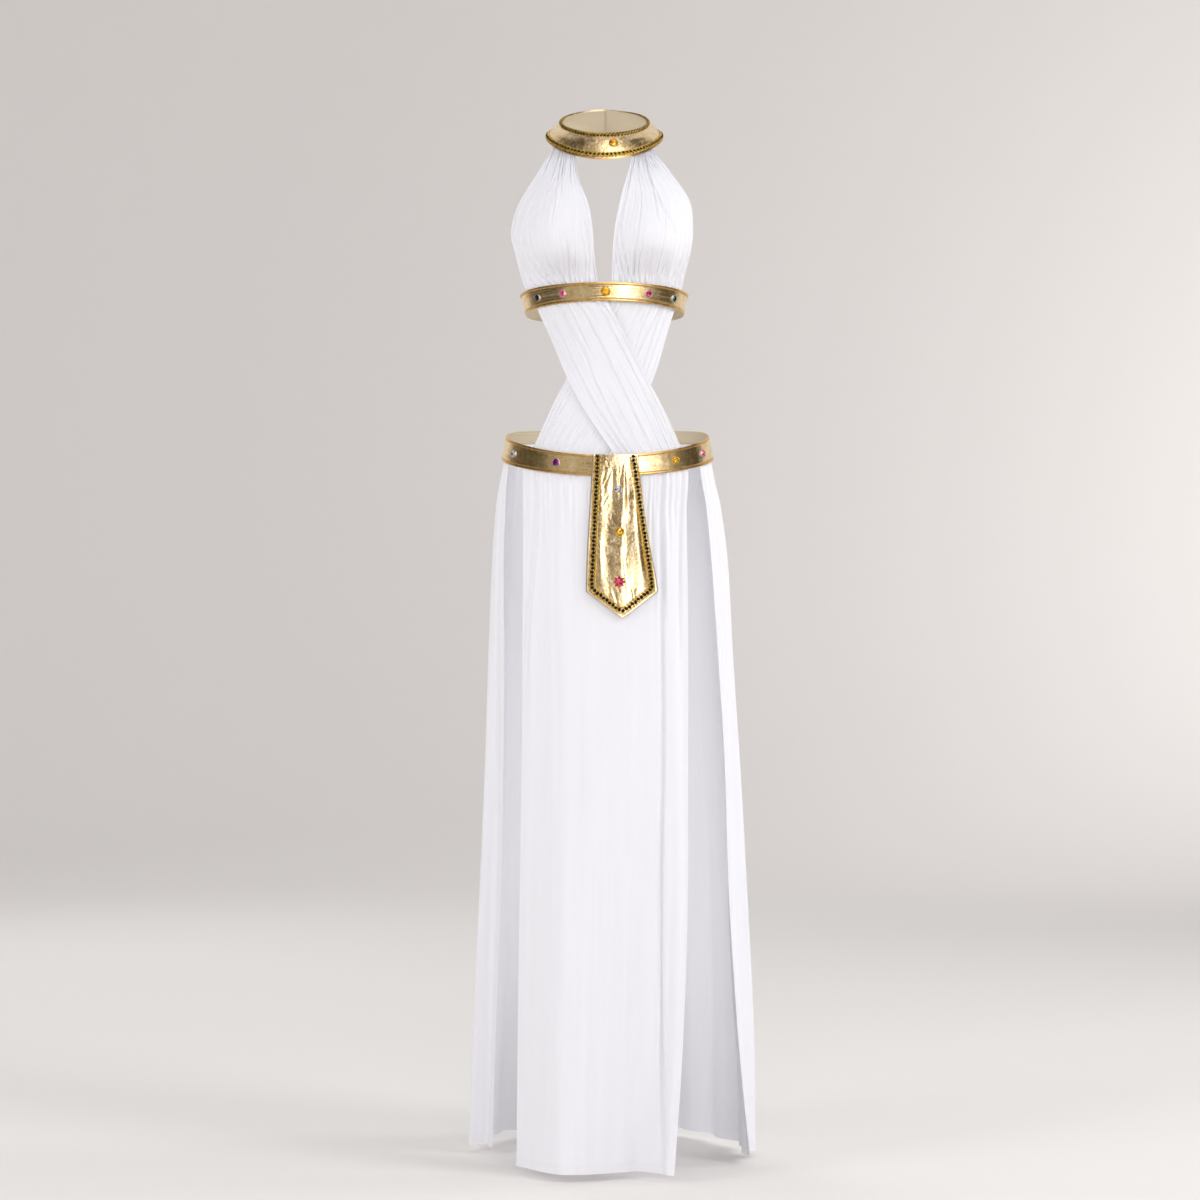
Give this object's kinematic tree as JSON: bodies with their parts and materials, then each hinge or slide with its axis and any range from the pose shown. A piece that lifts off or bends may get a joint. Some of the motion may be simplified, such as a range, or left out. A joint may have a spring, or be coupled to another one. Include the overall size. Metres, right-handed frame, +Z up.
{
  "type": "egyptian queen costume",
  "caption": "Floor-length halter costume in white jersey with gold foil collar, under-bust band, dipped hip belt and pointed tabard, crossed midriff straps and high side slits.",
  "frame": {"origin": "centre of the neck opening, level with the collar's neck edge at the sides", "axes": "+Z up along the worn garment, -Y to the garment's front, +X to the wearer's left"},
  "size_m": [0.4146, 0.427, 1.504],
  "materials": {
    "white_jersey": "matt knit",
    "gold_foil": "metallic foil coating",
    "bead_braid": "glossy beads on tape",
    "gold_braid": "metallic thread",
    "gem_clear": "clear, glossy, faceted",
    "gem_amber": "clear, glossy, faceted",
    "gem_navy": "clear, glossy, faceted",
    "gem_pink": "clear, glossy, faceted",
    "gem_magenta": "clear, glossy, faceted",
    "gem_green": "clear, glossy, faceted",
    "gem_purple": "clear, glossy, faceted",
    "gem_red": "clear, glossy, faceted"
  },
  "bodies": {
    "root": {"collar": "gold_foil", "collar_braid_lower": "bead_braid", "collar_braid_upper": "gold_braid", "collar_gem": "gem_amber", "cup_left": "white_jersey", "cup_right": "white_jersey", "bust_band": "gold_foil", "band_gem_1": "gem_navy", "band_gem_2": "gem_pink", "band_gem_3": "gem_amber", "band_gem_4": "gem_magenta", "band_gem_5": "gem_green", "strap_over": "white_jersey", "strap_under": "white_jersey", "hip_belt": "gold_foil", "belt_gem_1": "gem_clear", "belt_gem_2": "gem_purple", "belt_gem_3": "gem_amber", "belt_gem_4": "gem_pink", "skirt_front": "white_jersey", "skirt_back": "white_jersey", "tabard": "gold_foil", "tabard_braid": "bead_braid", "tabard_gem_clear": "gem_clear", "tabard_gem_amber": "gem_amber", "tabard_gem_star": "gem_red"}
  },
  "joints": []
}
